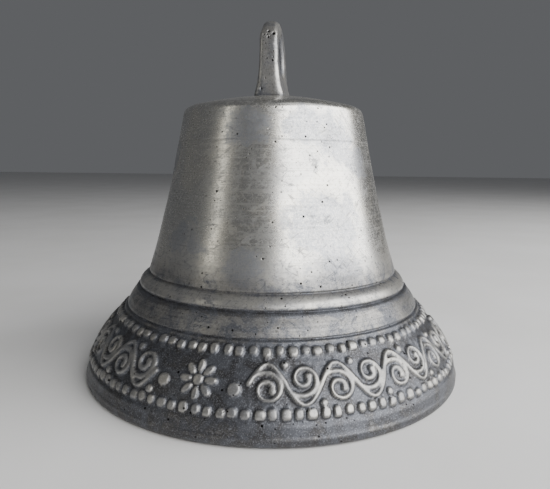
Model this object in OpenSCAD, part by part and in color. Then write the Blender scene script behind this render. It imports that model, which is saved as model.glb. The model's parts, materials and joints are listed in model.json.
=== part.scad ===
// Cast bronze clapper bell with a suspension eye and an iron clapper.
// Millimetres, +Z up. The origin is the centre of the mouth, in the plane that the lip stands on.
// The crown eye opens along X. The clapper's main swing is about X, and its side sway is about Y.

/* [Bell] */
// Diameter of the mouth at the lip
mouth_d = 120; // [110:1:130]
// Height of the shoulder above the lip
shoulder_h = 81; // [78:0.5:86]
// Diameter of the waist where the shoulder starts
shoulder_d = 57; // [54:0.5:60]
// How far the crown rises above the shoulder
crown_rise = 6.2; // [5.5:0.1:8]
// Thickness of the crown at its middle
crown_t = 5; // [4.6:0.1:6]
// Wall thickness along the waist, measured level
waist_t = 3.5; // [2.5:0.1:4]
// Width of the flat ring that the lip stands on
lip_w = 4; // [3:0.1:5]

/* [Mouldings] */
// Height of the groove above the ornament band
band_groove_h = 22.4; // [21:0.1:24]
// Outer radius of the wall at the band groove
band_groove_r = 47.2; // [46:0.1:48]
// Height of the groove between the two mouldings
mid_groove_h = 28.1; // [27:0.1:29]
// Outer radius of the wall at the groove between the mouldings
mid_groove_r = 43.3; // [42:0.1:44]
// Height of the groove where the waist meets the upper moulding
waist_groove_h = 32.4; // [31:0.1:34]
// Outer radius of the wall at the waist groove
waist_groove_r = 40.1; // [39:0.1:41]
// Depth of the three grooves
groove_depth = 0.5; // [0.2:0.1:0.8]

/* [Crown eye] */
// Height of the top of the eye above the lip
eye_top_h = 110; // [106:0.5:114]
// Radius of the round hole through the eye
eye_hole_r = 5.8; // [5:0.1:6.2]
// Height of the hole's axis above the lip
eye_hole_h = 98.7; // [97:0.1:100]
// Outside radius of the eye round its top
eye_outer_r = 10.2; // [9.5:0.1:11]
// Half of the eye's length where it meets the crown
eye_foot_half = 11.6; // [11:0.1:13]
// Thickness of the eye at its foot
eye_foot_t = 8.8; // [7:0.1:10]
// Thickness of the eye at its top
eye_top_t = 5; // [4:0.1:6]

/* [Clapper] */
// Radius of the iron rod that the staple is bent from
staple_rod_r = 2; // [1.6:0.1:2.4]
// Height of the staple's level rod, which is the swing axis
staple_h = 73; // [71:0.5:74]
// Length of the staple's straight level stretch
staple_flat = 8; // [8:0.5:10]
// Radius of the staple's two bends
staple_bend_r = 4; // [3:0.5:5]
// Depth that the staple's legs are cast into the crown
staple_cast_in = 3; // [2:0.1:3.5]
// Radius of the wire of the link and of the clapper's eye
wire_r = 1.5; // [1.2:0.1:1.6]
// Radius of the link, at the middle of its wire
link_r = 7; // [6.5:0.1:7.5]
// Radius of the clapper's eye, at the middle of its wire
shank_eye_r = 3.8; // [3.6:0.1:4.2]
// Radius of the clapper's shank
shank_r = 2.2; // [2:0.1:2.5]
// Largest radius of the striking ball
ball_r = 11; // [9:0.5:11]
// Height of the widest part of the ball above the lip
ball_h = 16; // [15:0.5:18]
// Radius of the washer under the ball
washer_r = 4.6; // [4:0.1:5.5]
// Thickness of the washer
washer_t = 1; // [0.8:0.1:1.4]
// Height of the riveted end of the shank
rivet_h = 1.8; // [1.2:0.1:2]

/* [Hidden] */
$fn = 96;

mouth_r = mouth_d / 2;
shoulder_r = shoulder_d / 2;
crown_h = shoulder_h + crown_rise;
curve_steps = 10;
lip_round = 1.2;
hinge_gap = 0.3;                       // play between a rod and the ring that hangs on it
link_h = staple_h - (link_r - wire_r - staple_rod_r - hinge_gap);
sway_h = link_h - link_r;              // height of the sway axis, in the link's lowest wire
ball_foot_h = ball_h - 0.94 * ball_r;  // level of the small flat under the ball
ball_neck_h = ball_h + 1.3 * ball_r;
washer_h = ball_foot_h - washer_t;
leg_x = staple_flat / 2 + staple_bend_r;
leg_top_h = crown_h - crown_t + staple_cast_in;

bronze = [0.62, 0.59, 0.54];
iron = [0.25, 0.22, 0.20];

// Points along a cubic Bezier curve from a to d.
function bezier(a, b, c, d, steps = curve_steps) =
    [for (i = [0 : steps]) let (t = i / steps)
        a * (1 - t)^3 + 3 * b * t * (1 - t)^2 + 3 * c * t^2 * (1 - t) + d * t^3];

// Points along an arc about [x, z], from angle a to angle b.
function arc(x, z, r, a, b, steps = 6) =
    [for (i = [0 : steps]) let (t = a + (b - a) * i / steps) [x + r * cos(t), z + r * sin(t)]];

// A convex or hollow moulding between two points, standing out by bulge at its middle.
function moulding(a, b, bulge, steps = 6) =
    let (along = b - a, out = [along[1], -along[0]] / norm(along))
    [for (i = [1 : steps - 1]) let (t = i / steps) a + along * t + out * bulge * sin(180 * t)];

// Outside of the bell from the lip up to the middle of the crown.
outer_line = concat(
    arc(mouth_r - lip_round, lip_round, lip_round, -90, 0, 4),
    bezier([mouth_r - 0.2, 2.2], [mouth_r - 1.1, 9.2], [mouth_r - 6.4, 16],
           [band_groove_r + 0.2, band_groove_h - 0.4]),
    [[band_groove_r - groove_depth, band_groove_h]],
    [[band_groove_r - 0.3, band_groove_h + 0.4]],
    moulding([band_groove_r - 0.3, band_groove_h + 0.4],
             [mid_groove_r + 0.9, mid_groove_h - 1], 0.25),
    [[mid_groove_r + 0.9, mid_groove_h - 1]],
    [[mid_groove_r + 0.7, mid_groove_h - 0.4]],
    [[mid_groove_r - groove_depth, mid_groove_h]],
    moulding([mid_groove_r, mid_groove_h + 0.3],
             [waist_groove_r + 0.3, waist_groove_h - 0.4], 0.55),
    [[waist_groove_r + 0.3, waist_groove_h - 0.4]],
    [[waist_groove_r - groove_depth, waist_groove_h]],
    bezier([waist_groove_r - 0.1, waist_groove_h + 0.5], [waist_groove_r - 5.2, waist_groove_h + 16],
           [shoulder_r + 3, shoulder_h - 16], [shoulder_r, shoulder_h], 14),
    bezier([shoulder_r, shoulder_h], [shoulder_r - 0.3, shoulder_h + 2.2],
           [shoulder_r - 2.5, shoulder_h + 2.6], [shoulder_r - 5, shoulder_h + 3.1], 6),
    bezier([shoulder_r - 5, shoulder_h + 3.1], [shoulder_r - 10, shoulder_h + 4.1],
           [10, crown_h], [0, crown_h], 6));

// Inside of the bell from the middle of the crown down to the lip.
crown_inner_h = crown_h - crown_t;
bow_r = waist_groove_r - 3;            // inside radius where the waist opens into the sound bow
inner_line = concat(
    [[0, crown_inner_h]],
    bezier([shoulder_r - 12, crown_inner_h - 0.4], [shoulder_r - 6, crown_inner_h - 0.6],
           [shoulder_r - 3.9, crown_inner_h - 2], [shoulder_r - waist_t, crown_inner_h - 5], 6),
    bezier([shoulder_r - waist_t, crown_inner_h - 5], [shoulder_r - waist_t + 2.7, 59.3],
           [bow_r - 5.7, 46], [bow_r, 32]),
    bezier([bow_r, 32], [bow_r + 3.4, 23.6], [mouth_r - lip_w - 5.6, 13.5],
           [mouth_r - lip_w - 2.2, 6]),
    [[mouth_r - lip_round - lip_w, 0]]);

module ring(r, wire) {
    rotate_extrude() translate([r, 0]) circle(wire);
}

// Bronze casting: crown, waist, mouldings, sound bow and lip.
module bell_body() {
    color(bronze) difference() {
        rotate_extrude($fn = 180) polygon(concat(outer_line, inner_line));
        for (side = [-1, 1])
            translate([side * leg_x, 0, crown_inner_h - 2])
                cylinder(h = leg_top_h - crown_inner_h + 2, r = staple_rod_r);
    }
}

// Outline of the eye along the bell, in Y and Z.
module eye_side_outline() {
    polygon(concat(
        [[-eye_foot_half, shoulder_h]],
        [[eye_foot_half, shoulder_h]],
        [[eye_foot_half, crown_h - 1.6]],
        arc(0, eye_top_h - eye_outer_r, eye_outer_r, 0, 180, 24),
        [[-eye_foot_half, crown_h - 1.6]]));
}

// Outline of the eye across the bell, in X and Z: wide at the foot, thin at the top.
module eye_end_outline() {
    side = bezier([eye_foot_t / 2, crown_h - 1.6], [eye_foot_t / 2 - 1.2, crown_h + 4],
                  [eye_top_t / 2 + 0.2, crown_h + 10], [eye_top_t / 2, eye_top_h - 3], 8);
    top = bezier([eye_top_t / 2, eye_top_h - 3], [eye_top_t / 2 - 0.1, eye_top_h - 0.8],
                 [eye_top_t / 2 - 1, eye_top_h], [0, eye_top_h], 6);
    half = concat([[eye_foot_t / 2, shoulder_h]], side, top);
    polygon(concat(half, [for (i = [len(half) - 1 : -1 : 0]) [-half[i][0], half[i][1]]]));
}

// Suspension eye on the crown, with a round hole along X.
module crown_eye() {
    color(bronze) difference() {
        intersection() {
            rotate([90, 0, 90]) linear_extrude(eye_foot_t + 2, center = true) eye_side_outline();
            rotate([90, 0, 0]) linear_extrude(2 * eye_foot_half + 2, center = true) eye_end_outline();
        }
        translate([0, 0, eye_hole_h]) rotate([0, 90, 0])
            cylinder(h = eye_foot_t + 4, r = eye_hole_r, center = true);
        rotate_extrude($fn = 180) polygon(concat(outer_line, [[0, 0]]));
    }
}

// Iron staple cast into the crown: a level rod between two bends and two legs.
module clapper_staple() {
    color(iron) union() {
        translate([-staple_flat / 2, 0, staple_h]) rotate([0, 90, 0])
            cylinder(h = staple_flat, r = staple_rod_r);
        for (side = [0, 1]) mirror([side, 0, 0]) {
            translate([staple_flat / 2, 0, staple_h + staple_bend_r]) rotate([90, 0, 0])
                rotate([0, 0, -90]) rotate_extrude(angle = 90)
                    translate([staple_bend_r, 0]) circle(staple_rod_r);
            translate([leg_x, 0, staple_h + staple_bend_r])
                cylinder(h = leg_top_h - staple_h - staple_bend_r, r = staple_rod_r);
        }
    }
}

// Iron ring that hangs on the staple, in the YZ plane.
module clapper_link() {
    color(iron) translate([0, 0, link_h]) rotate([0, 90, 0]) ring(link_r, wire_r);
}

// Iron shank with its eye at the top and its riveted end under the washer.
module clapper_shank() {
    color(iron) union() {
        translate([0, 0, sway_h]) rotate([90, 0, 0]) ring(shank_eye_r, wire_r);
        translate([0, 0, washer_h]) cylinder(h = sway_h - shank_eye_r - washer_h, r = shank_r);
        translate([0, 0, washer_h - rivet_h]) cylinder(h = rivet_h, r1 = shank_r, r2 = shank_r + 1.2);
    }
}

// Forged ball, drawn up into a neck round the shank.
module clapper_ball() {
    low_r = sqrt(ball_r^2 - (ball_h - ball_foot_h)^2);
    low_angle = -atan2(ball_h - ball_foot_h, low_r);
    color(iron) rotate_extrude() polygon(concat(
        [[shank_r, ball_foot_h]],
        arc(0, ball_h, ball_r, low_angle, 38, 16),
        bezier([ball_r * cos(40), ball_h + ball_r * sin(40)], [ball_r * 0.5, ball_h + ball_r * 0.97],
               [shank_r + 1, ball_neck_h - 3], [shank_r + 0.8, ball_neck_h], 8),
        [[shank_r, ball_neck_h]]));
}

// Washer between the ball and the riveted end.
module clapper_washer() {
    color(iron) translate([0, 0, washer_h]) difference() {
        cylinder(h = washer_t, r = washer_r);
        translate([0, 0, -1]) cylinder(h = washer_t + 2, r = shank_r);
    }
}

bell_body();
crown_eye();
clapper_staple();
clapper_link();
clapper_shank();
clapper_ball();
clapper_washer();
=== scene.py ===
"""Looks of the cast clapper bell: the casting with its ornament band, the crown eye and the iron clapper.

Lengths are in metres. The bell's walls are read from the CAD casting, and its surface detail is added here.
"""
import json
import math

import bmesh
import bpy
import numpy as np
from mathutils import Matrix, Vector
from mathutils.bvhtree import BVHTree


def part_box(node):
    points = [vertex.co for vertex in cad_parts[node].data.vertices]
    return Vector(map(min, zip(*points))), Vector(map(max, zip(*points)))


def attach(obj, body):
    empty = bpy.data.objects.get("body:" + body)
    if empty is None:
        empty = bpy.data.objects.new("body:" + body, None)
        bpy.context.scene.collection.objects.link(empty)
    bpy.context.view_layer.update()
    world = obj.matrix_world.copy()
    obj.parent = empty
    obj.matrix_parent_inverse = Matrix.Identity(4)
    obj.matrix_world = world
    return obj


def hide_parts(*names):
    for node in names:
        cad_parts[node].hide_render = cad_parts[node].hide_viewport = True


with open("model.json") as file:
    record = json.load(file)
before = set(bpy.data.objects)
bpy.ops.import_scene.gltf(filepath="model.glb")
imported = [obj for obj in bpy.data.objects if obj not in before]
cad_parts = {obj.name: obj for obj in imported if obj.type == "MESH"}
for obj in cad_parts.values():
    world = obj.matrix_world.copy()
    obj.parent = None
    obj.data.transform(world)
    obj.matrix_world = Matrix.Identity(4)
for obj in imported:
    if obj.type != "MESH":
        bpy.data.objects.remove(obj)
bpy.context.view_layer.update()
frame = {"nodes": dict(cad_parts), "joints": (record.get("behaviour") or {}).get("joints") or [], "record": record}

MM = 0.001
TURN = 2 * math.pi
rng = np.random.default_rng(12)

# Sizes taken from the frame: the mouth's radius, the heights of the crown and of the eye's top, the bore
# through the eye, and the clapper's two joints.
MOUTH_R, _, CROWN_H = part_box("bell_body")[1]
EYE_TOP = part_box("crown_eye")[1].z
EYE_BORE = next(m for m in frame["record"]["mounts"] if m["name"] == "eye_bore")
SWING, SWAY = frame["joints"]

# What the bell metal's material reads at each vertex: painted shade in the hollows, worn tops, dark patina, and
# how far the skin is as cast instead of turned and brushed.
MASKS = ("hollow", "crest", "patina", "cast")


# -------------------- small helpers

def smooth_step(low, high, value):
    """0 below low, 1 above high, and a smooth ramp between."""
    t = np.clip((value - low) / (high - low), 0, 1)
    return t * t * (3 - 2 * t)


def add_piece(name, points, faces, body, material, stands_for):
    """Makes a smooth mesh piece that rides on a body and stands for a CAD node."""
    mesh = bpy.data.meshes.new(name)
    mesh.from_pydata([tuple(p) for p in points], [], faces)
    mesh.validate()
    shell = bmesh.new()
    shell.from_mesh(mesh)
    if shell.calc_volume(signed=True) < 0:
        mesh.flip_normals()
    shell.free()
    mesh.polygons.foreach_set("use_smooth", [True] * len(mesh.polygons))
    mesh.materials.append(material)
    piece = bpy.data.objects.new(name, mesh)
    bpy.context.scene.collection.objects.link(piece)
    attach(piece, body)
    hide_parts(stands_for)
    return piece


def set_mask(piece, name, values):
    """Stores one number for each vertex, which the material reads by name."""
    piece.data.attributes.new(name, "FLOAT", "POINT").data.foreach_set("value", values)


def add_bell_piece(name, points, faces, masks, material, stands_for):
    """Makes a piece of the casting, with one column of masks for each name in MASKS."""
    piece = add_piece(name, points, faces, "bell", material, stands_for)
    for k, mask in enumerate(MASKS):
        set_mask(piece, mask, masks[:, k].astype(np.float32))


def cad_surface(node):
    """The surface of a CAD node, for rays to hit."""
    cad = frame["nodes"][node].data
    return BVHTree.FromPolygons([v.co for v in cad.vertices], [p.vertices for p in cad.polygons])


def hit(surface, start, toward):
    """Where a ray first meets a surface."""
    return surface.ray_cast(Vector(start), Vector(toward))[0]


def grid_faces(rows, columns, close_rows=False):
    """Quads over a grid that closes on itself along its columns, and also along its rows if asked."""
    faces = []
    for i in range(rows if close_rows else rows - 1):
        a, b = i * columns, (i + 1) % rows * columns
        for j in range(columns):
            k = (j + 1) % columns
            faces.append((a + j, a + k, b + k, b + j))
    return faces


def outward_normals(points, faces):
    """Unit normals at the vertices of a closed form, pointing out of it."""
    triangles = np.array([(f[0], f[k], f[k + 1]) for f in faces for k in range(1, len(f) - 1)])
    a, b, c = (points[triangles[:, k]] for k in range(3))
    flat = np.cross(b - a, c - a)
    total = np.zeros_like(points)
    for k in range(3):
        np.add.at(total, triangles[:, k], flat)
    total *= np.sign((a * flat).sum())
    return total / np.maximum(np.linalg.norm(total, axis=1), 1e-12)[:, None]


WAVES = 10  # waves that add up to a wobble


def wobble(points, size, seed):
    """A soft random height for each point, in about -1 to 1, with lumps of the given size."""
    draw = np.random.default_rng(seed)
    total = np.zeros(len(points))
    for _ in range(WAVES):
        direction = draw.normal(size=3)
        direction /= np.linalg.norm(direction)
        wave = TURN / (size * draw.uniform(0.7, 1.6))
        total += np.sin(points @ direction * wave + draw.uniform(0, TURN))
    return total / (0.45 * WAVES)


# -------------------- materials

class Graph:
    """Builds a material's nodes. Each method adds a node, or a few, and returns the last one's output."""

    def __init__(self, name):
        self.material = bpy.data.materials.new(name)
        self.material.use_nodes = True
        self.tree = self.material.node_tree
        self.shader = self.tree.nodes["Principled BSDF"]
        self.place = self.tree.nodes.new("ShaderNodeTexCoord").outputs["Object"]

    def node(self, kind, inputs, **settings):
        made = self.tree.nodes.new("ShaderNode" + kind)
        for name, value in settings.items():
            setattr(made, name, value)
        for socket, value in inputs.items():
            self.feed(made.inputs[socket], value)
        return made

    def feed(self, socket, value):
        if isinstance(value, bpy.types.NodeSocket):
            self.tree.links.new(value, socket)
        else:
            socket.default_value = value

    def mask(self, name):
        return self.node("Attribute", {}, attribute_name=name).outputs["Fac"]

    def math(self, operation, a, b=0.0, clamp=False):
        return self.node("Math", {0: a, 1: b}, operation=operation, use_clamp=clamp).outputs[0]

    def total(self, *terms):
        """The sum of (value, weight) pairs, kept between 0 and 1."""
        result = 0.0
        for value, weight in terms:
            result = self.node("Math", {0: value, 1: weight, 2: result},
                               operation="MULTIPLY_ADD").outputs[0]
        return self.math("ADD", result, 0.0, clamp=True)

    def ramp(self, value, low, high, start=0.0, end=1.0):
        return self.node("MapRange", {"Value": value, "From Min": low, "From Max": high,
                                      "To Min": start, "To Max": end},
                         interpolation_type="SMOOTHSTEP").outputs["Result"]

    def noise(self, size, detail, roughness, distortion=0.0):
        """Cloudy noise whose lumps are about size across."""
        return self.node("TexNoise", {"Vector": self.place, "Scale": 1 / size, "Detail": detail,
                                      "Roughness": roughness, "Distortion": distortion}).outputs["Fac"]

    def brushed(self, length, width, detail, turn=(0, 0, 0)):
        """Noise drawn out into level lines of the given length and width, or lines turned from level."""
        vector = self.node("Mapping", {"Vector": self.place, "Rotation": turn,
                                       "Scale": (1, 1, width / length)},
                           vector_type="TEXTURE").outputs["Vector"]
        return self.node("TexNoise", {"Vector": vector, "Scale": 1 / length, "Detail": detail,
                                      "Roughness": 0.6}).outputs["Fac"]

    def scratches(self, length, apart, turn):
        """Thin scratches, which are the level lines of a drawn out noise."""
        value = self.brushed(length, apart, 1.0, turn)
        return self.ramp(self.math("ABSOLUTE", self.math("SUBTRACT", value, 0.5)), 0.022, 0.004)

    def pits(self, spacing, radius, share):
        """Small round pits, one in only a share of the cells of a random lattice."""
        cell = self.node("TexVoronoi", {"Vector": self.place, "Scale": 1 / spacing})
        chosen = self.node("SeparateColor", {0: cell.outputs["Color"]}).outputs[0]
        near = self.ramp(cell.outputs["Distance"], radius / spacing, 0.5 * radius / spacing)
        return self.math("MULTIPLY", near, self.math("LESS_THAN", chosen, share))

    def spot(self, place, reach, edge):
        """A blot round a place, whose outline the edge noise makes uneven."""
        away = self.node("VectorMath", {0: self.place, 1: place}, operation="DISTANCE").outputs["Value"]
        return self.ramp(self.math("ADD", self.math("DIVIDE", away, reach), edge), 1.64, 1.30)

    def mix(self, fac, a, b):
        made = self.node("Mix", {0: fac}, data_type="RGBA")
        self.feed(made.inputs[6], a)
        self.feed(made.inputs[7], b)
        return made.outputs[2]

    def bump(self, height, depth, below=None):
        inputs = {"Height": height, "Distance": depth, "Strength": 1.0}
        if below is not None:
            inputs["Normal"] = below
        return self.node("Bump", inputs).outputs["Normal"]

    def finish(self, colour, roughness, metallic, normal):
        for socket, value in (("Base Color", colour), ("Roughness", roughness),
                              ("Metallic", metallic), ("Normal", normal)):
            self.feed(self.shader.inputs[socket], value)
        return self.material


def at_angle(degrees, radius, height):
    """A place on the bell, by its angle from +X, its radius and its height in millimetres."""
    a = math.radians(degrees)
    return (radius * MM * math.cos(a), radius * MM * math.sin(a), height * MM)


# Linear colours of the bell metal: worn bright, less worn, and stained; patina, which is also the painted shade in
# the hollows, its bluer patches and its flecks; and the painted shade at the bottom of a pit.
WORN, DULL, STAINED = (0.71, 0.685, 0.625, 1), (0.63, 0.62, 0.59, 1), (0.45, 0.465, 0.495, 1)
BLACK_PATINA_AND_SHADE, BLUE_PATINA_AND_SHADE = (0.036, 0.035, 0.037, 1), (0.074, 0.078, 0.090, 1)
FLECK, PIT_SHADE = (0.235, 0.245, 0.27, 1), (0.006, 0.005, 0.005, 1)
# And of the forged iron: scale, lighter scale, rust, where it is rubbed bright, and the bottom of a pit.
SCALE, LIGHT_SCALE, RUST = (0.035, 0.031, 0.03, 1), (0.085, 0.072, 0.064, 1), (0.13, 0.058, 0.03, 1)
RUBBED, RUST_PIT = (0.36, 0.34, 0.32, 1), (0.014, 0.011, 0.01, 1)

# Handling stains on the waist: each one's centre, as at_angle takes it, and its reach in millimetres.
STAINS = [((-55, 32, 47), 10.0), ((-54, 34, 38), 8.5), ((-64, 28, 76), 5.5), ((-48, 27, 73), 7.0),
          ((-96, 28, 76), 6.0), ((-125, 33, 45), 7.0), ((-92, 34, 39), 5.5), ((-30, 30, 66), 5.0),
          ((10, 31, 62), 8.0), ((55, 32, 46), 9.0), ((72, 30, 56), 6.0), ((100, 28, 72), 7.0),
          ((150, 32, 50), 9.0), ((-165, 30, 68), 7.0), ((40, 28, 80), 6.0)]


def handling_scratches(g, patches, turned):
    """Two crossing sets of scratches, in patches of the turned skin."""
    crossing = g.math("MAXIMUM", g.scratches(16 * MM, 2.6 * MM, (0.25, -0.5, 0)),
                      g.scratches(11 * MM, 2.2 * MM, (-0.9, 0.35, 0)))
    scratched = g.math("MULTIPLY", g.ramp(patches, 0.46, 0.60), turned)
    return g.math("MULTIPLY", crossing, scratched)


def casting_pits(g, clouds, hollow):
    """Pinholes, and the larger pits painted black as shade: small ones in clusters, large ones, and blow holes."""
    in_clusters = g.ramp(clouds, 0.42, 0.56, 0.35, 1.0)
    pinholes = g.math("MULTIPLY", g.pits(1.1 * MM, 0.18 * MM, 0.7), in_clusters)
    small = g.math("MULTIPLY", g.pits(2.1 * MM, 0.30 * MM, 0.7), in_clusters)
    pits = g.math("MAXIMUM", small, g.pits(4 * MM, 0.42 * MM, 0.8))
    return pinholes, g.math("MAXIMUM", pits, g.ramp(hollow, 1.1, 1.8))


def handling_stains(g, clouds, patches, grain, speckle):
    """Blots with an uneven edge and a speckled middle."""
    edge = g.total((patches, 2.0), (clouds, 2.4), (grain, 0.4), (-1.92, 1.0))
    stain = 0.0
    for place, reach in STAINS:
        stain = g.math("MAXIMUM", stain, g.spot(at_angle(*place), reach * MM, edge))
    return g.math("MULTIPLY", stain, g.ramp(speckle, 0.36, 0.60, 0.40, 1.0))


def bell_metal():
    """Worn bell metal: bright and brushed where it is handled, dark patina in the band, and painted shade in the
    hollows and the pits.
    """
    g = Graph("bell_metal")
    hollow, crest, patina, cast = (g.mask(name) for name in MASKS)
    clouds = g.noise(15 * MM, 4, 0.6, 0.7)
    patches = g.noise(5 * MM, 6, 0.68, 0.5)
    grain = g.noise(0.9 * MM, 4, 0.72)
    speckle = g.noise(0.34 * MM, 2, 0.6)
    turned = g.math("SUBTRACT", 1.0, cast)
    brushing = g.brushed(26 * MM, 0.5 * MM, 3.0)
    streaks = g.math("MULTIPLY", g.ramp(brushing, 0.46, 0.66), turned)
    scratches = handling_scratches(g, patches, turned)
    pinholes, pits = casting_pits(g, clouds, hollow)
    stain = handling_stains(g, clouds, patches, grain, speckle)

    mottled = g.math("MULTIPLY", patina, g.ramp(patches, 0.34, 0.64, 0.80, 1.12))
    # The dark cover adds real patina, stains, grain and scratches to painted shade in the hollows and the
    # pinholes.
    dirt_and_shade = g.total((mottled, 0.68), (hollow, 0.4), (stain, 0.15), (g.ramp(clouds, 0.48, 0.66), 0.10),
                   (g.ramp(patches, 0.50, 0.68), 0.12), (g.ramp(grain, 0.48, 0.66), 0.17),
                   (streaks, 0.08), (scratches, 0.26), (pinholes, 0.6))
    worn = g.math("MULTIPLY", crest, g.ramp(patches, 0.35, 0.65, 0.68, 0.42))
    dirt_and_shade = g.math("MULTIPLY", dirt_and_shade, g.math("SUBTRACT", 1.0, worn))
    cover = g.math("SUBTRACT", 1.0, g.math("POWER", g.math("SUBTRACT", 1.0, dirt_and_shade), 1.6))

    bright = g.mix(stain, g.mix(g.ramp(clouds, 0.38, 0.58), WORN, DULL), STAINED)
    dark = g.mix(g.ramp(patches, 0.4, 0.62), BLACK_PATINA_AND_SHADE, BLUE_PATINA_AND_SHADE)
    dark = g.mix(g.ramp(speckle, 0.50, 0.70, 0.0, 0.5), dark, FLECK)
    # Pits and blow holes are painted near black: painted shade at their bottoms.
    colour = g.mix(pits, g.mix(cover, bright, dark), PIT_SHADE)

    roughness = g.total((cover, 0.17), (grain, 0.08), (streaks, 0.02), (stain, 0.06), (pits, 0.3),
                        (scratches, 0.05), (0.20, 1.0))
    metallic = g.total((cover, -0.32), (pits, 0.32), (1.0, 1.0))
    coarse = g.total((patina, 0.6), (cast, 0.4), (0.08, 1.0))
    skin = g.total((g.math("MULTIPLY", brushing, turned), 0.01), (scratches, -0.06),
                   (g.math("MULTIPLY", grain, coarse), 0.20), (g.math("MULTIPLY", speckle, coarse), 0.45),
                   (0.16, 1.0))
    normal = g.bump(skin, 0.07 * MM)
    normal = g.bump(g.math("SUBTRACT", 1.0, pits), 0.05 * MM, normal)
    return g.finish(colour, roughness, metallic, normal)


def forged_iron():
    """Forged iron: dark scale, rust in the lows and a polish where it rubs."""
    g = Graph("forged_iron")
    worn = g.mask("worn")
    lumps = g.noise(4 * MM, 4, 0.6, 0.5)
    rust = g.ramp(g.noise(2.4 * MM, 5, 0.68, 0.3), 0.48, 0.66)
    grain = g.noise(0.35 * MM, 3, 0.65)
    pits = g.pits(1.9 * MM, 0.3 * MM, 0.35)

    scale = g.mix(g.ramp(lumps, 0.38, 0.62), SCALE, LIGHT_SCALE)
    colour = g.mix(g.math("MULTIPLY", rust, 0.6), scale, RUST)
    colour = g.mix(pits, g.mix(worn, colour, RUBBED), RUST_PIT)
    roughness = g.total((rust, 0.22), (grain, 0.2), (worn, -0.22), (0.46, 1.0))
    metallic = g.total((worn, 0.5), (rust, -0.4), (0.55, 1.0))
    normal = g.bump(g.total((lumps, 0.5), (grain, 0.5)), 0.16 * MM)
    normal = g.bump(g.math("SUBTRACT", 1.0, pits), 0.2 * MM, normal)
    return g.finish(colour, roughness, metallic, normal)


# -------------------- outline of the casting

# Heights between which the outline keeps its sharp mouldings; elsewhere it is smoothed.
SHARP_HEIGHTS = [(0.0, 2.4 * MM), (22.0 * MM, 32.9 * MM), (82.4 * MM, 84.0 * MM)]
SHARPEST, SMOOTHEST = 0.16 * MM, 1.5 * MM  # widths of the smoothing, at these heights and far away
SAMPLE = 0.1 * MM  # step at which the CAD wall is read
# Radius at which the wall turns in to the crown, outside and inside, as a share of the mouth's.
OUTER_SHOULDER, INNER_SHOULDER = 0.45, 0.38

# Fine turned lines: height, half width and rise in mm. A negative rise cuts in.
TURNED_LINES = [(2.3, 0.40, 0.22), (5.2, 0.5, 0.10), (21.85, 0.22, 0.16), (23.9, 0.25, -0.04),
                (28.0, 0.16, 0.28), (72.6, 0.20, -0.07)]


def read_outline(surface, inside):
    """Radius and height along one side of the wall, from the lip to the crown, as the CAD casting has it."""
    far = 2 * MOUTH_R
    shoulder_r = (INNER_SHOULDER if inside else OUTER_SHOULDER) * MOUTH_R
    outline, height = [], 0.02 * MM
    while not outline or outline[-1][0] > shoulder_r:
        start, toward = ((0, 0, height), (0, 1, 0)) if inside else ((0, far, height), (0, -1, 0))
        outline.append((hit(surface, start, toward).y, height))
        height += SAMPLE
    radius = outline[-1][0] - SAMPLE
    while radius > 0:
        start = (0, radius, 0.5 * CROWN_H if inside else far)
        outline.append((radius, hit(surface, start, (0, 0, 1 if inside else -1)).z))
        radius -= SAMPLE
    return np.array(outline)


def lengths_along(line):
    """Distance from the line's start to each of its points."""
    steps = np.hypot(*np.diff(line, axis=0).T)
    return np.concatenate([[0], np.cumsum(steps)])


def smoothed(line, sharp_heights):
    """The line with its facets smoothed away, least near the sharp heights."""
    apart = np.min([np.maximum(np.maximum(a - line[:, 1], line[:, 1] - b), 0)
                    for a, b in sharp_heights], axis=0)
    blur = np.clip(SHARPEST + 0.4 * apart, SHARPEST, SMOOTHEST)
    mirrored = np.concatenate([line, line[::-1] * [-1, 1]])
    along = lengths_along(mirrored)
    spread = (along[None, :] - along[:len(line), None]) / blur[:, None]
    weight = np.exp(-0.5 * spread ** 2)
    return weight @ mirrored / weight.sum(1)[:, None]


def row_places(line, spacing_at):
    """Distances along the line where the mesh has a row, spacing_at(height) apart."""
    along = lengths_along(line)
    density = np.cumsum(SAMPLE / spacing_at(line[:, 1]))
    count = int(round(density[-1] - density[0]))
    return np.interp(np.linspace(density[0], density[-1], count + 1), density, along)


# -------------------- the ornament band

BAND_LOW, BAND_HIGH = 6.0 * MM, 21.6 * MM  # limits of the sunk ground
SUNK = 0.22 * MM  # how deep the ground lies
RELIEF = 0.85 * MM  # height of the relief over the ground
SCROLL_RELIEF = 0.86  # height of the scroll, as a share of the beads'
# The rows of beads: height of the row, number of beads, and half their width and height.
LOWER_BEADS = (7.75 * MM, 115, 1.20 * MM, 1.34 * MM)
UPPER_BEADS = (20.2 * MM, 95, 1.18 * MM, 1.24 * MM)
SCROLL_LOW, SCROLL_HIGH = 9.2 * MM, 18.2 * MM
GROUPS = 3  # the ornament repeats this often round the bell
CELLS = 10  # half waves of the scroll in each group
ROSETTE_WIDTH = 12.0 * MM
PETALS = 8
DOT_GAP = 6.8 * MM  # room for one large dot
DOT_UP = 0.36  # its place up the scroll, as a share
DOT_R = 1.55 * MM
SEED_R = 0.85 * MM  # seeds between the cells, and the volutes' round ends
FIRST_DOT = math.radians(-110.8)  # where a group's first large dot stands
# Where a stroke's rounded edge begins and ends, from its outline, and how far from it the relief is tested.
STROKE_EDGE = (-0.17 * MM, 0.37 * MM)
STROKE_REACH = 2.2 * MM
FAR = 9.0  # farther than any stroke
BEAD_POWER = 2.7  # how square the beads are: 2 makes an ellipse


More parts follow.
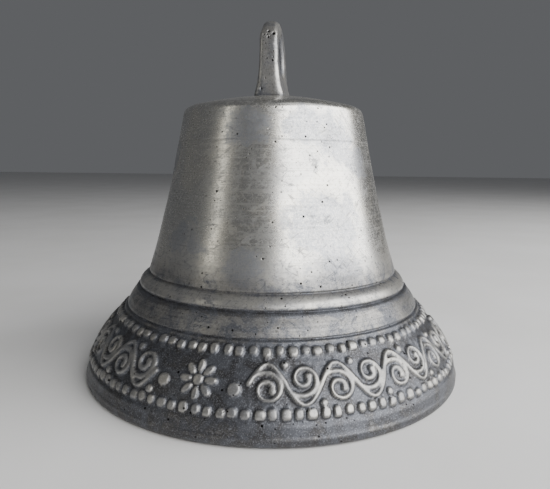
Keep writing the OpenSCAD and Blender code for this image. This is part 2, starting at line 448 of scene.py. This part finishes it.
def spiral(centre, start_r, start_angle, turns, tightening):
    """Points on a spiral that winds clockwise and inwards, with a stroke that swells as a pen's does."""
    angles = np.linspace(0, turns * TURN, int(turns * 60))
    radius = start_r * np.exp(-tightening * angles)
    x = centre[0] + radius * np.cos(start_angle - angles)
    y = centre[1] + radius * np.sin(start_angle - angles)
    half = MM * (0.47 + 0.15 * np.cos(angles - start_angle + 0.6))
    return np.stack([x, y, half], 1)


def dot(x, y, radius):
    """A stroke of one point."""
    return np.array([[x, y, radius]])


def scroll_cell(width, height):
    """Half a wave of the running scroll: the stem's arch, the volute that curls under it, and a seed."""
    middle, rise, root_at = height / 2, 0.43 * height, 0.09
    x = np.linspace(0, width, 60)
    stem = np.stack([x, middle + rise * np.sin(math.pi * x / width),
                     MM * (0.60 - 0.20 * np.sin(math.pi * x / width))], 1)
    centre = (0.5 * width, middle - 0.12 * height)
    root = (root_at * width, middle + rise * math.sin(root_at * math.pi))
    start_r = math.dist(centre, root)
    angle = math.atan2(root[1] - centre[1], root[0] - centre[0])
    volute = spiral(centre, start_r, angle, 1.45, 0.135)
    end = volute[-1]
    return np.concatenate([stem, volute, dot(end[0], end[1], SEED_R), dot(width, height - 0.9 * MM, SEED_R)])


def rosette(width, height):
    """A boss with a ring of petals round it."""
    centre = [0.5 * width, 0.5 * height, 0]
    t = np.linspace(0, 1, 12)
    reach = MM * (2.3 + 2.1 * t)
    half = MM * (0.30 + 0.52 * np.sin(math.pi * (0.1 + 0.75 * t)))
    petals = [np.stack([reach * math.cos(a), reach * math.sin(a), half], 1) + centre
              for a in np.arange(PETALS) * TURN / PETALS]
    return np.concatenate([*petals, dot(0.5 * width, 0.5 * height, 1.25 * MM)])


def ornament_strokes(height, round_length):
    """Every stroke of the scroll, laid out round the bell: distance round, height up, and half width."""
    group = round_length / GROUPS
    width = (group - 2 * DOT_GAP - ROSETTE_WIDTH) / CELLS
    strokes = []
    for n in range(GROUPS):
        x = n * group
        strokes.append(dot(x, DOT_UP * height, DOT_R))
        x += 0.5 * DOT_GAP
        strokes.append(rosette(ROSETTE_WIDTH, height) + [x, 0, 0])
        x += ROSETTE_WIDTH + 0.5 * DOT_GAP
        strokes.append(dot(x, DOT_UP * height, DOT_R))
        x += 0.5 * DOT_GAP
        for i in range(CELLS):
            cell = scroll_cell(width, height)
            if i % 2:
                cell = cell * [1, -1, 1] + [0, height, 0]
            cell[:, 2] *= rng.uniform(0.88, 1.12)
            cell[:, 1] += rng.uniform(-0.15, 0.15) * MM
            strokes.append(cell + [x, 0, 0])
            x += width
    return np.concatenate(strokes)


def stroke_relief(angles, radii, up, along_low, along_high):
    """Height, 0 to 1, that the strokes give each vertex of the band's grid."""
    mid_r = float(np.interp(0.5 * (along_low + along_high), up, radii))
    best = np.full((len(up), len(angles)), FAR)
    step = angles[1] - angles[0]
    for x, y, half in ornament_strokes(along_high - along_low, TURN * mid_r):
        reach = STROKE_REACH + half
        rows = np.nonzero(np.abs(up - along_low - y) < reach)[0]
        if not len(rows):
            continue
        theta = FIRST_DOT + x / mid_r
        across = int(reach / mid_r / step) + 2
        columns = (int(round(theta / step)) + np.arange(-across, across + 1)) % len(angles)
        turn = (angles[columns] - theta + math.pi) % TURN - math.pi
        du = turn[None, :] * radii[rows][:, None]
        dv = (up[rows] - along_low - y)[:, None]
        patch = np.ix_(rows, columns)
        best[patch] = np.minimum(best[patch], np.hypot(du, dv) - half)
    return 1 - smooth_step(*STROKE_EDGE, best)


def bead_relief(angles, radii, up, centre_up, count, half_wide, half_high):
    """Height, 0 to 1, of a row of cast beads: squarish, uneven and flattened on top."""
    pitch = TURN / count
    spot = np.round(angles / pitch).astype(int)
    total = np.zeros((len(up), len(angles)))
    shift = rng.uniform(-0.09, 0.09, count) * pitch
    lift = rng.uniform(-0.28, 0.28, count) * MM
    wide = half_wide * rng.uniform(0.82, 1.12, count)
    high = half_high * rng.uniform(0.85, 1.12, count)
    rise = rng.uniform(0.72, 1.0, count)
    lean = rng.uniform(-0.22, 0.22, count)
    for offset in (-1, 0, 1):
        k = (spot + offset) % count
        centre = (spot + offset) * pitch + shift[k]
        turn = angles - centre
        du = turn[None, :] * radii[:, None]
        dv = (up - centre_up)[:, None] - lift[k][None, :]
        du, dv = du + lean[k] * dv, dv - lean[k] * du
        powers = np.abs(du / wide[k]) ** BEAD_POWER + np.abs(dv / high[k]) ** BEAD_POWER
        distance = powers ** (1 / BEAD_POWER)
        cap = (1 - smooth_step(0.80, 1.18, distance)) * rise[k] * (1 - 0.10 * np.minimum(distance, 1) ** 2)
        total = np.maximum(total, cap)
    return total


def blurred(values, reach):
    """A box blur, reach vertices to each side, that wraps round the columns."""
    for axis, mode in ((0, "edge"), (1, "wrap")):
        pad = [(0, 0), (0, 0)]
        pad[axis] = (reach, reach)
        padded = np.cumsum(np.pad(values, pad, mode=mode), axis=axis)
        padded = np.insert(padded, 0, 0, axis=axis)
        size = values.shape[axis]
        high = np.take(padded, np.arange(2 * reach + 1, 2 * reach + 1 + size), axis=axis)
        low = np.take(padded, np.arange(size), axis=axis)
        values = (high - low) / (2 * reach + 1)
    return values


# -------------------- the casting

FINE = 1152  # columns of the mesh round the ornament band
BAND_ROWS = (5.6 * MM, 22.05 * MM)  # heights between which the mesh is finest
MOULDING_TOP = 33.2 * MM
GROOVES = (22.4 * MM, 28.1 * MM, 32.4 * MM)  # turned between the mouldings
GROOVE_REACH = 0.75 * MM
WAIST_LINE = (72.0 * MM, 73.2 * MM)  # holds the faint line turned round the waist
SHOULDER = (81.0 * MM, 85.0 * MM)
# Dark patina: height in mm, and its strength there.
PATINA = [(0, 1.8), (2.0, 1.6), (2.4, 1.4), (5.5, 1.6),  # lip
          (6.2, 0.90), (21.5, 0.90),  # ornament band
          (22.2, 1.2), (23.0, 1.0), (25.0, 0.92), (27.0, 0.88),  # ledge
          (27.5, 1.5), (28.8, 1.5),  # middle groove
          (29.2, 0.75), (30.5, 0.47), (31.8, 0.65),  # upper moulding
          (33.0, 0.95), (34.5, 0.85), (36.5, 0.52), (39, 0.25), (43, 0.0),  # foot of the waist
          (84, 0.0), (88, 0.35)]  # shoulder and crown
WAIST_GROOVE = (30.7 * MM, 38.0 * MM)  # heights of the groove under the waist
WAIST_GROOVE_SHADE = 0.5  # share of the usual painted shade in it
GROOVE_BLUR = 0.9 * MM  # smoothing that tells a groove from a crest
UNEVEN = 0.06 * MM  # how far the casting's walls wander
# Masks that are the same all over, in the order of MASKS: crown's middle, inside, and face of the lip.
CROWN_MASK = (0, 0, 0.35, 0)
INSIDE_MASK = (0, 0, 0.9, 0.8)
LIP_MASK = (0, 0.5, 0.5, 0.3)
BAND_CAST = 0.85  # how far the band's skin is as cast


def outer_spacing(height):
    """Distance between the mesh's rows on the outside of the bell."""
    stretches = [(0, MOULDING_TOP, 0.42 * MM)]
    stretches += [(groove - GROOVE_REACH, groove + GROOVE_REACH, 0.14 * MM) for groove in GROOVES]
    stretches += [(*BAND_ROWS, 0.335 * MM), (0, BAND_ROWS[0], 0.43 * MM), (*WAIST_LINE, 0.2 * MM),
                  (*SHOULDER, 0.5 * MM)]
    spacing = np.full(len(height), 1.7 * MM)
    for low, high, apart in stretches:
        spacing[(height > low) & (height < high)] = apart
    return spacing


def outer_columns(height):
    """Vertices round the outside at a height. Rows that meet have equal counts, or one twice the other."""
    if height < BAND_ROWS[0]:
        return FINE // 2
    if height < BAND_ROWS[1]:
        return FINE
    if height < BAND_ROWS[1] + 0.5 * MM:
        return FINE // 2
    return FINE // 4 if height < MOULDING_TOP + 1.0 * MM else FINE // 8


def inner_spacing(height):
    """Distance between the mesh's rows on the inside of the bell."""
    return np.where(height < 6 * MM, 0.8 * MM, 2.0 * MM)


def inner_columns(height):
    """Vertices round the inside at a height."""
    return FINE // 4 if height < 12 * MM else FINE // 8


def detail_rise(height):
    """Rise of the turned lines and the sunk ground, by height."""
    rise = np.zeros(len(height))
    for centre, half, depth in TURNED_LINES:
        rise += depth * MM * np.exp(-((height - centre * MM) / (half * MM)) ** 2)
    sunk = smooth_step(BAND_LOW - 0.25 * MM, BAND_LOW + 0.25 * MM, height)
    sunk -= smooth_step(BAND_HIGH - 0.1 * MM, BAND_HIGH + 0.2 * MM, height)
    return rise - SUNK * sunk


def normals_out(tangent):
    """Unit normals out of the wall, from directions along its outline."""
    tangent = tangent / np.linalg.norm(tangent, axis=1)[:, None]
    return np.stack([tangent[:, 1], -tangent[:, 0]], 1)


def row_frames(line, places):
    """Point and outward normal of the outline at each row."""
    along = lengths_along(line)
    step = 0.25 * MM
    point, ahead, behind = (np.stack([np.interp(places + shift, along, line[:, i]) for i in (0, 1)], 1)
                            for shift in (0, step, -step))
    return point, normals_out(ahead - behind)


def groove_depth(line):
    """How far a smoother line stands outside the line itself: positive in grooves, negative on crests."""
    along = lengths_along(line)
    weight = np.exp(-0.5 * ((along[None, :] - along[:, None]) / GROOVE_BLUR) ** 2)
    soft = weight @ line / weight.sum(1)[:, None]
    return ((soft - line) * normals_out(np.gradient(line, axis=0))).sum(1)


def bridge(a, count_a, b, count_b):
    """Faces between two rings of vertices: of equal counts, one twice the other, or one a single vertex."""
    if count_a == count_b:
        return [(a + j, a + (j + 1) % count_a, b + (j + 1) % count_a, b + j) for j in range(count_a)]
    if count_a < count_b:
        return [tuple(reversed(face)) for face in bridge(b, count_b, a, count_a)]
    if count_b == 1:
        return [(a + j, a + (j + 1) % count_a, b) for j in range(count_a)]
    return [(a + 2 * j, a + 2 * j + 1, a + (2 * j + 2) % count_a, b + (j + 1) % count_b, b + j)
            for j in range(count_b)]


class Rings:
    """Collects rings of vertices about Z, with their masks, and the faces between them."""

    def __init__(self):
        self.points, self.masks, self.faces = [], [], []
        self.last, self.first = None, None

    def add(self, radii, heights, masks):
        """A ring with a radius, a height and masks for each vertex, joined to the ring before it."""
        count, start = len(radii), sum(len(p) for p in self.points)
        angles = np.arange(count) * TURN / count
        self.points.append(np.stack([radii * np.cos(angles), radii * np.sin(angles), heights], 1))
        self.masks.append(masks)
        if self.last:
            self.faces += bridge(*self.last, start, count)
        self.last = (start, count)
        self.first = self.first or self.last

    def add_level(self, radius, height, count, masks):
        """A level ring, with the same masks all round."""
        self.add(np.full(count, radius), np.full(count, height), np.tile(masks, (count, 1)))


def casting(material):
    """The bell's wall: the outside from the lip up, the inside from the crown down, and the lip's face."""
    surface = cad_surface("bell_body")
    outer = smoothed(read_outline(surface, False), SHARP_HEIGHTS)
    inner = smoothed(read_outline(surface, True), [(0, 0)])
    rings = Rings()
    add_outside(rings, outer)
    rings.last = None
    add_inside(rings, inner)
    add_lip(rings, inner[0, 0], outer[0, 0])

    points = np.concatenate(rings.points)
    uneven = UNEVEN * wobble(points, 15 * MM, 8) * smooth_step(0.5 * MM, 5 * MM, points[:, 2])
    radius = np.maximum(np.hypot(points[:, 0], points[:, 1]), 1 * MM)
    points[:, :2] *= (1 + uneven / radius)[:, None]
    add_bell_piece("bell_casting", points, rings.faces, np.concatenate(rings.masks), material, "bell_body")


def add_outside(rings, outer):
    """Rings up the outside, with the turned lines, the ornament and the painted shade in the grooves."""
    places = row_places(outer, outer_spacing)
    point, normal = row_frames(outer, places)
    height = point[:, 1]
    rise = detail_rise(height)
    groove = np.interp(places, lengths_along(outer), groove_depth(outer))
    band = np.nonzero((height >= BAND_ROWS[0]) & (height < BAND_ROWS[1]))[0]
    relief, hollow, crest = band_relief(places, point, band, outer)
    for i in range(len(places)):
        count = outer_columns(height[i])
        lift = np.full(count, rise[i])
        # Painted shade in the grooves, by how deep they lie.
        line_hollow = np.clip(groove[i] / (0.20 * MM) - rise[i] / (0.12 * MM), 0, 1)
        line_crest = np.clip(-groove[i] / (0.22 * MM) + rise[i] / (0.35 * MM), 0, 1)
        if WAIST_GROOVE[0] < height[i] < WAIST_GROOVE[1]:
            line_hollow *= WAIST_GROOVE_SHADE
        masks = np.zeros((count, 4))
        masks[:, 0], masks[:, 1] = line_hollow, 0.3 * line_crest
        masks[:, 2] = np.interp(height[i] / MM, *zip(*PATINA))
        if i in band:
            row = i - band[0]
            lift = lift + RELIEF * relief[row]
            masks[:, 0] = np.maximum(masks[:, 0], hollow[row])
            masks[:, 1] = crest[row]
            masks[:, 3] = BAND_CAST
        rings.add(point[i, 0] + normal[i, 0] * lift, height[i] + normal[i, 1] * lift, masks)
    rings.add_level(0.0, outer[-1, 1], 1, CROWN_MASK)


def add_inside(rings, inner):
    """Rings down the inside, from the middle of the crown to the lip."""
    point, _ = row_frames(inner, row_places(inner, inner_spacing)[::-1])
    rings.add_level(0.0, inner[-1, 1], 1, INSIDE_MASK)
    for radius, height in point[1:]:
        rings.add_level(radius, height, inner_columns(height), INSIDE_MASK)


def add_lip(rings, inner_r, outer_r):
    """The flat ring that the bell stands on, ending at the first ring of the outside."""
    for share, count in ((0.0, FINE // 4), (0.35, FINE // 2), (0.7, FINE // 2)):
        rings.add_level(inner_r + share * (outer_r - inner_r), 0.0, count, LIP_MASK)
    rings.faces += bridge(*rings.last, *rings.first)


def band_relief(places, point, band, outer):
    """The ornament's height over the band's grid, with masks for the painted shade in its hollows and for its worn
    tops.
    """
    angles = np.arange(FINE) * TURN / FINE
    along = lengths_along(outer)
    up = places[band]
    radii = point[band, 0]

    def along_at(height):
        return float(np.interp(height, outer[:, 1], along))

    relief = SCROLL_RELIEF * stroke_relief(angles, radii, up, along_at(SCROLL_LOW), along_at(SCROLL_HIGH))
    for row_height, count, half_wide, half_high in (LOWER_BEADS, UPPER_BEADS):
        beads = bead_relief(angles, radii, up, along_at(row_height), count, half_wide, half_high)
        relief = np.maximum(relief, beads)

    # Cast grain over the ground, and tops that are worn unevenly.
    grid = np.stack([np.outer(radii, np.cos(angles)).ravel(), np.outer(radii, np.sin(angles)).ravel(),
                     np.repeat(point[band, 1], FINE)], 1)
    wear = wobble(grid, 6 * MM, 5).reshape(relief.shape)
    grain = wobble(grid, 1.1 * MM, 6).reshape(relief.shape)
    from_edge = np.minimum(np.arange(len(band)), np.arange(len(band))[::-1])
    fade = smooth_step(0, 4, from_edge)[:, None]
    relief = (relief * (1 + 0.07 * wear) + 0.05 * grain * (1 - relief)) * fade
    soft = blurred(blurred(relief, 2), 2)
    # Painted shade on the ground beside the relief, where the blurred relief stands higher.
    hollow = np.clip((soft - relief) * 3.6, 0, 1)
    crest = np.clip(smooth_step(0.30, 0.64, relief) * (0.86 + 0.12 * wear), 0, 1)
    return relief, hollow, crest


# -------------------- the crown eye

# Blow holes on the eye's outward faces: offset across the face, height and radius, in millimetres.
EYE_PITS = [(1.45, 104.6, 0.46), (-0.15, 105.3, 0.34), (-0.50, 104.35, 0.17), (-1.55, 104.2, 0.24),
            (-0.15, 103.4, 0.28), (0.50, 103.75, 0.17), (-0.90, 103.6, 0.16), (-1.7, 99.8, 0.14),
            (1.5, 97.6, 0.17), (-1.7, 97.7, 0.13), (-1.8, 88.4, 0.34), (-2.7, 90.2, 0.17)]
FOOT_SINK = 1.0 * MM  # how deep the eye's foot runs into the crown
LEAN = 0.5 * MM  # how far the top leans to -X
PITS_LEAN = 0.3  # how far it leans at the height of most pits, in mm
EYE_TURNS, EYE_AROUND = 480, 128  # sections round the hole, and points in each
OUTLINE_BLUR = 3.6  # smoothing of the CAD outline, in sections
BLUR_REACH = 10  # how many sections to each side it takes in


def crown_eye(material):
    """A ring of rounded sections round the hole, from the hole's edge to the eye's outline."""
    surface = cad_surface("crown_eye")
    hole = Vector(EYE_BORE["pos_m"])
    hole_r = EYE_BORE["dims"]["r_mm"] * MM
    directions = [Vector((0, math.cos(a), math.sin(a))) for a in np.arange(EYE_TURNS) * TURN / EYE_TURNS]
    reach = blurred_round(np.array([outline_distance(surface, hole, out) for out in directions]))
    sections = [eye_section(hole, out, hole_r, outer_r) for out, outer_r in zip(directions, reach)]
    points = np.concatenate([section[0] for section in sections])
    masks = np.concatenate([section[1] for section in sections])
    faces = grid_faces(EYE_TURNS, EYE_AROUND, close_rows=True)
    points, dents = dent_eye(points, outward_normals(points, faces))
    # Blow holes are painted black as shade: the hollow shade mask goes up to 2 in them.
    masks[:, 0] = np.maximum(masks[:, 0], 2 * dents)
    masks[:, 1] *= 1 - dents
    add_bell_piece("crown_eye_cast", points, faces, masks, material, "crown_eye")


def blurred_round(values):
    """Smooths values that go round the hole."""
    kernel = np.exp(-0.5 * (np.arange(-BLUR_REACH, BLUR_REACH + 1) / OUTLINE_BLUR) ** 2)
    wrapped = np.concatenate([values[-BLUR_REACH:], values, values[:BLUR_REACH]])
    return np.convolve(wrapped, kernel / kernel.sum(), "valid")


def outline_distance(surface, hole, out):
    """Distance from the hole's axis to the eye's outline in direction out, sunk a little into the crown."""
    found = hit(surface, hole + out * 0.05, -out)
    distance = (found - hole).length
    return distance + (FOOT_SINK / max(-out.z, 0.5) if out.z < -0.72 else 0)


def eye_half_thickness(z):
    """Half of the eye's thickness at a height. The eye is 9 mm thick at its foot and 5.2 mm near its top."""
    up = np.maximum(z - (CROWN_H - 1 * MM), 0)
    return 2.62 * MM + 2.3 * MM * np.exp(-up / (5.0 * MM))


def even_section(squareness, half_wide, half_thick):
    """Evenly spaced points round a rounded rectangle, as shares of its half width and thickness."""
    t = np.linspace(0, TURN, 2001)
    across, through = (np.sign(part) * np.abs(part) ** squareness for part in (np.cos(t), np.sin(t)))
    along = lengths_along(np.stack([across * half_wide, through * half_thick], 1))
    places = np.arange(EYE_AROUND) * along[-1] / EYE_AROUND
    return np.interp(places, along, across), np.interp(places, along, through)


def eye_section(hole, out, hole_r, outer_r):
    """Points and masks of one section: across runs from the hole's wall, -1, to the outline, 1."""
    squareness = 0.40 + 0.38 * float(smooth_step(0.55, 1.0, out.z))
    middle, reach = (hole_r + outer_r) / 2, (outer_r - hole_r) / 2
    across, through = even_section(squareness, reach, eye_half_thickness(hole.z + out.z * middle))
    from_hole = middle + reach * across
    y, z = hole.y + out.y * from_hole, hole.z + out.z * from_hole
    lean = LEAN * (z - CROWN_H) / (EYE_TOP - CROWN_H)
    points = np.stack([eye_half_thickness(z) * through - lean, y, z], 1)
    hole_side = smooth_step(0.6, 1.0, -across)
    rim = smooth_step(0.50, 0.76, np.abs(across * through))
    foot = np.exp(-((z - (CROWN_H - 1.2 * MM)) / (1.0 * MM)) ** 2)
    # Painted shade at the eye's foot and on the side of its hole, in the hollow shade mask; the extra patina on
    # the hole's side is painted shade too.
    masks = np.stack([0.6 * foot + 0.75 * hole_side, 0.62 * rim * (1 - foot), 0.82 + 0.2 * hole_side,
                      np.full(len(z), 0.6)], 1)
    return points, masks


def dent_eye(points, normals):
    """Cast unevenness all over, and blow holes on the outward faces near the top and the foot."""
    points = points + normals * (0.07 * MM * wobble(points, 5 * MM, 21))[:, None]
    dents = np.zeros(len(points))
    depth = np.zeros(len(points))
    for side in (-1, 1):
        facing = (points[:, 1] * side > 0) & (normals[:, 1] * side > 0.3)
        for x, z, size in EYE_PITS:
            if side > 0:  # the back's are mirrored and closer together
                x, z = -0.8 * x, 0.6 * z + 39
            away = np.hypot(points[:, 0] - (x - PITS_LEAN) * MM, points[:, 2] - z * MM) / (size * MM)
            hole = (1 - smooth_step(0.80, 1.20, away)) * facing
            dents = np.maximum(dents, hole)
            depth = np.maximum(depth, 1.2 * size * MM * hole)
    return points - normals * depth[:, None], dents


# -------------------- the iron clapper

X, Y, Z = Vector((1, 0, 0)), Vector((0, 1, 0)), Vector((0, 0, 1))
STAPLE_LEVEL = 4 * MM  # half of the level stretch of the staple's rod
SHANK_WIRE_R = 1.5 * MM  # wire of the shank's eye
SHANK_R = 2.2 * MM  # shank, and the bores of the ball and the washer
RIVET_RISE = 1.2 * MM  # how far the riveted end spreads past the shank
RIVET = (0.4, 0.8, 1.0, 1.0, 0.86)  # its outline from the top down, as shares of that
ROD_SIDES = 28
RING_SIDES = 24
BALL_SIDES = 96
WASHER_SIDES = 72
WASHER_EDGE = 0.22 * MM
STRIKE_UP = 10.3 * MM  # from the ball's foot to the middle of its polished band


def swept(path, radius, sides, closed=False):
    """A tube along a path, with a radius for each point of it. A tube that isn't closed has flat ends."""
    count = len(path)
    points = []
    side = None
    for i, here in enumerate(path):
        ahead = path[(i + 1) % count] if closed or i + 1 < count else here
        behind = path[i - 1] if closed or i else here
        along = (ahead - behind).normalized()
        if side is None:
            side = along.orthogonal().normalized()
        side = (side - along * side.dot(along)).normalized()
        other = along.cross(side)
        for j in range(sides):
            a = j * TURN / sides
            points.append(here + radius[i] * (math.cos(a) * side + math.sin(a) * other))
    faces = grid_faces(count, sides, close_rows=closed)
    if not closed:
        faces.append(tuple(reversed(range(sides))))
        faces.append(tuple((count - 1) * sides + j for j in range(sides)))
    return np.array(points), faces


def turned_form(outline, sides):
    """A closed form about Z, from an outline of radii and heights that runs from bore to bore."""
    angles = np.arange(sides) * TURN / sides
    points = np.array([(r * math.cos(a), r * math.sin(a), h) for r, h in outline for a in angles])
    return points, grid_faces(len(outline), sides, close_rows=True)


def circle_path(centre, radius, steps, first, second):
    """Points round a circle in the plane of two axes."""
    return [centre + radius * (math.cos(i * TURN / steps) * first + math.sin(i * TURN / steps) * second)
            for i in range(steps)]


def iron_piece(name, points, faces, body, stands_for, material, worn, uneven=0.05 * MM):
    """Makes a forged piece: uneven all over, and polished by the share that worn gives at each point."""
    centre = points.mean(0)
    worn_values = np.array([worn(p) for p in points], np.float32)
    normals = outward_normals(points, faces)
    points = points + normals * (uneven * wobble(points - centre, 2.2 * MM, len(points)))[:, None]
    piece = add_piece(name, points, faces, body, material, stands_for)
    set_mask(piece, "worn", worn_values)


def staple(material):
    """Two legs out of the crown, joined by a level rod, which the link has polished."""
    low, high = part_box("clapper_staple")
    rod_r = (high.y - low.y) / 2
    leg_x = high.x - rod_r
    axis_h = SWING["pos_m"][2]
    bend_r = leg_x - STAPLE_LEVEL
    bend_h = axis_h + bend_r
    leg_steps = int((high.z - bend_h) / MM)
    down = [Vector((-leg_x, 0, high.z - i * MM)) for i in range(leg_steps)]
    bend = [Vector((leg_x - bend_r + bend_r * math.cos(a), 0, bend_h - bend_r * math.sin(a)))
            for a in np.linspace(0, math.pi / 2, 14)]
    level = [Vector((x * MM, 0, axis_h)) for x in range(-3, 4)]
    up = [Vector((leg_x, 0, bend_h + i * MM)) for i in range(1, leg_steps + 1)]
    path = down + [Vector((-p.x, 0, p.z)) for p in bend] + level + bend[::-1] + up
    points, faces = swept(path, [rod_r] * len(path), ROD_SIDES)

    def worn(p):
        return max(0, 1 - abs(p[0]) / (3.5 * MM)) * (0.7 if p[2] < axis_h else 0.25)

    iron_piece("clapper_staple_rod", points, faces, "bell", "clapper_staple", material, worn)


def link(material):
    """A ring of wire with a weld, polished where it hangs and where the shank hangs in it."""
    low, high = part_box("clapper_link")
    wire_r = (high.x - low.x) / 2
    centre = (low + high) / 2
    radius = (high.z - low.z) / 2 - wire_r
    steps, weld_at = 120, 8
    wire = [wire_r * (1 + 0.06 * math.exp(-((i - weld_at) / 3) ** 2)) for i in range(steps)]
    points, faces = swept(circle_path(centre, radius, steps, Y, Z), wire, RING_SIDES, closed=True)

    def worn(p):
        return 0.7 * max(0, (abs(p[2] - centre.z) - 0.72 * radius) / (0.5 * radius))

    iron_piece("clapper_link_ring", points, faces, "link", "clapper_link", material, worn)


def shank(material):
    """The eye that hangs in the link, the rod down through the ball and the washer, and its riveted end."""
    low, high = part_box("clapper_shank")
    sway_h = SWAY["pos_m"][2]
    eye_r = high.z - sway_h - SHANK_WIRE_R
    steps = 96
    ring_path = circle_path(Vector((0, 0, sway_h)), eye_r, steps, X, Z)
    ring_points, ring_faces = swept(ring_path, [SHANK_WIRE_R] * steps, RING_SIDES, closed=True)

    ball_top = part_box("clapper_ball")[1].z
    washer_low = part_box("clapper_washer")[0].z
    heights = np.concatenate([np.linspace(sway_h - eye_r, ball_top, 30),
                              np.linspace(ball_top - 1 * MM, washer_low, 12),
                              np.linspace(washer_low - 0.3 * MM, low.z, len(RIVET))])
    radius = [SHANK_R * (1 + 0.08 * math.sin(9 * i / 30)) if h > ball_top else SHANK_R
              for i, h in enumerate(heights)]
    radius[-len(RIVET):] = [SHANK_R + RIVET_RISE * share for share in RIVET]
    rod_points, rod_faces = swept([Vector((0, 0, h)) for h in heights], radius, ROD_SIDES)
    points = np.concatenate([ring_points, rod_points])
    faces = ring_faces + [tuple(k + len(ring_points) for k in face) for face in rod_faces]

    def worn(p):
        return 0.7 if p[2] > sway_h + 0.5 * eye_r and abs(p[0]) < 2 * MM else 0.0

    iron_piece("clapper_shank_rod", points, faces, "clapper", "clapper_shank", material, worn)


def ball(material):
    """The forged ball and its neck, a little out of round from the hammer."""
    surface = cad_surface("clapper_ball")
    low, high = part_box("clapper_ball")
    heights = low.z + (high.z - low.z) * (0.5 - 0.5 * np.cos(np.linspace(0.0, math.pi, 70)))
    heights = np.clip(heights, low.z + 0.02 * MM, high.z - 0.02 * MM)
    radii = np.array([hit(surface, (0, 0.05, h), (0, -1, 0)).y for h in heights])
    kernel = np.exp(-0.5 * ((heights[None, :] - heights[:, None]) / (0.5 * MM)) ** 2)
    radii[2:-2] = (kernel @ radii / kernel.sum(1))[2:-2]
    foot = [(r, low.z) for r in (SHANK_R, 0.5 * (SHANK_R + radii[0]), 0.9 * radii[0])]
    neck = [(r, high.z) for r in (0.95 * radii[-1], SHANK_R)]
    points, faces = turned_form([*foot, *zip(radii, heights), *neck], BALL_SIDES)
    hammered = 0.022 * np.minimum(wobble(points, 7 * MM, 3), 0.35)
    points = points + points * [1, 1, 0] * hammered[:, None]

    def worn(p):
        return 0.75 * math.exp(-((p[2] - low.z - STRIKE_UP) / (3 * MM)) ** 2)

    iron_piece("clapper_ball_forged", points, faces, "clapper", "clapper_ball", material, worn, 0.09 * MM)


def washer(material):
    """A flat washer with worn corners."""
    low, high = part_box("clapper_washer")
    face_r = high.x - WASHER_EDGE
    outline = [(SHANK_R, low.z), (face_r, low.z), (high.x, low.z + WASHER_EDGE),
               (high.x, high.z - WASHER_EDGE), (face_r, high.z), (SHANK_R, high.z)]
    points, faces = turned_form(outline, WASHER_SIDES)
    iron_piece("clapper_washer_disc", points, faces, "clapper", "clapper_washer", material,
               lambda p: 0.15, 0.02 * MM)


# -------------------- stage, lights and camera

def stage():
    """A plain pale floor, just clear of the lip."""
    bpy.ops.mesh.primitive_plane_add(size=6, location=(0, 0, -0.05 * MM))
    floor = bpy.context.object
    floor.name = "floor"
    g = Graph("pale_floor")
    tone = g.noise(60 * MM, 3, 0.5)
    colour = g.mix(g.ramp(tone, 0.3, 0.7), (0.66, 0.655, 0.645, 1), (0.70, 0.695, 0.69, 1))
    g.feed(g.shader.inputs["Base Color"], colour)
    g.shader.inputs["Roughness"].default_value = 0.8
    floor.data.materials.append(g.material)


def soft_light(name, azimuth, elevation, distance, size, power, colour):
    """A rectangular soft box, size wide and high, aimed at the middle of the bell."""
    lamp = bpy.data.lights.new(name, "AREA")
    lamp.shape = "RECTANGLE"
    lamp.size, lamp.size_y = size
    lamp.energy = power
    lamp.color = colour
    a, e = math.radians(azimuth), math.radians(elevation)
    back = Vector((math.sin(a) * math.cos(e), -math.cos(a) * math.cos(e), math.sin(e)))
    holder = bpy.data.objects.new(name, lamp)
    holder.location = Vector((0, 0, 0.5 * CROWN_H)) + back * distance
    holder.rotation_euler = (-back).to_track_quat("-Z", "Y").to_euler()
    bpy.context.scene.collection.objects.link(holder)


def lights():
    """A wide soft box on the right, a faint narrow one on the left, a faint one above, and a dim room."""
    world = bpy.data.worlds.new("studio")
    world.use_nodes = True
    background = world.node_tree.nodes["Background"]
    background.inputs["Color"].default_value = (0.78, 0.80, 0.84, 1)
    background.inputs["Strength"].default_value = 0.15
    bpy.context.scene.world = world
    soft_light("key", 66, 20, 0.6, (1.2, 0.75), 17.5, (1.0, 0.995, 0.985))
    soft_light("fill", -50, 22, 0.8, (0.10, 0.6), 0.36, (1.0, 0.97, 0.86))
    soft_light("top", 75, 62, 0.8, (0.6, 0.5), 0.95, (0.96, 0.98, 1.0))


def camera():
    """The photograph's view: close to the bell, just above its middle, a little to the left of the eye."""
    azimuth, pitch, roll = math.radians(8), 0.1498, 0.009
    away, height, aside = 175.9 * MM, 66.1 * MM, 0.85 * MM
    data = bpy.data.cameras.new("camera")
    data.sensor_width = 36
    data.lens = 35
    data.dof.use_dof = False
    data.clip_start, data.clip_end = 0.01, 20
    holder = bpy.data.objects.new("camera", data)
    level = Matrix.Rotation(azimuth, 4, "Z") @ Matrix.Translation((aside, -away, height))
    tilt = Matrix.Rotation(math.pi / 2 - pitch, 4, "X") @ Matrix.Rotation(roll, 4, "Z")
    holder.matrix_world = level @ tilt
    bpy.context.scene.collection.objects.link(holder)
    bpy.context.scene.camera = holder


camera()
lights()
stage()
bronze = bell_metal()
iron = forged_iron()
casting(bronze)
crown_eye(bronze)
for make in (staple, link, shank, ball, washer):
    make(iron)
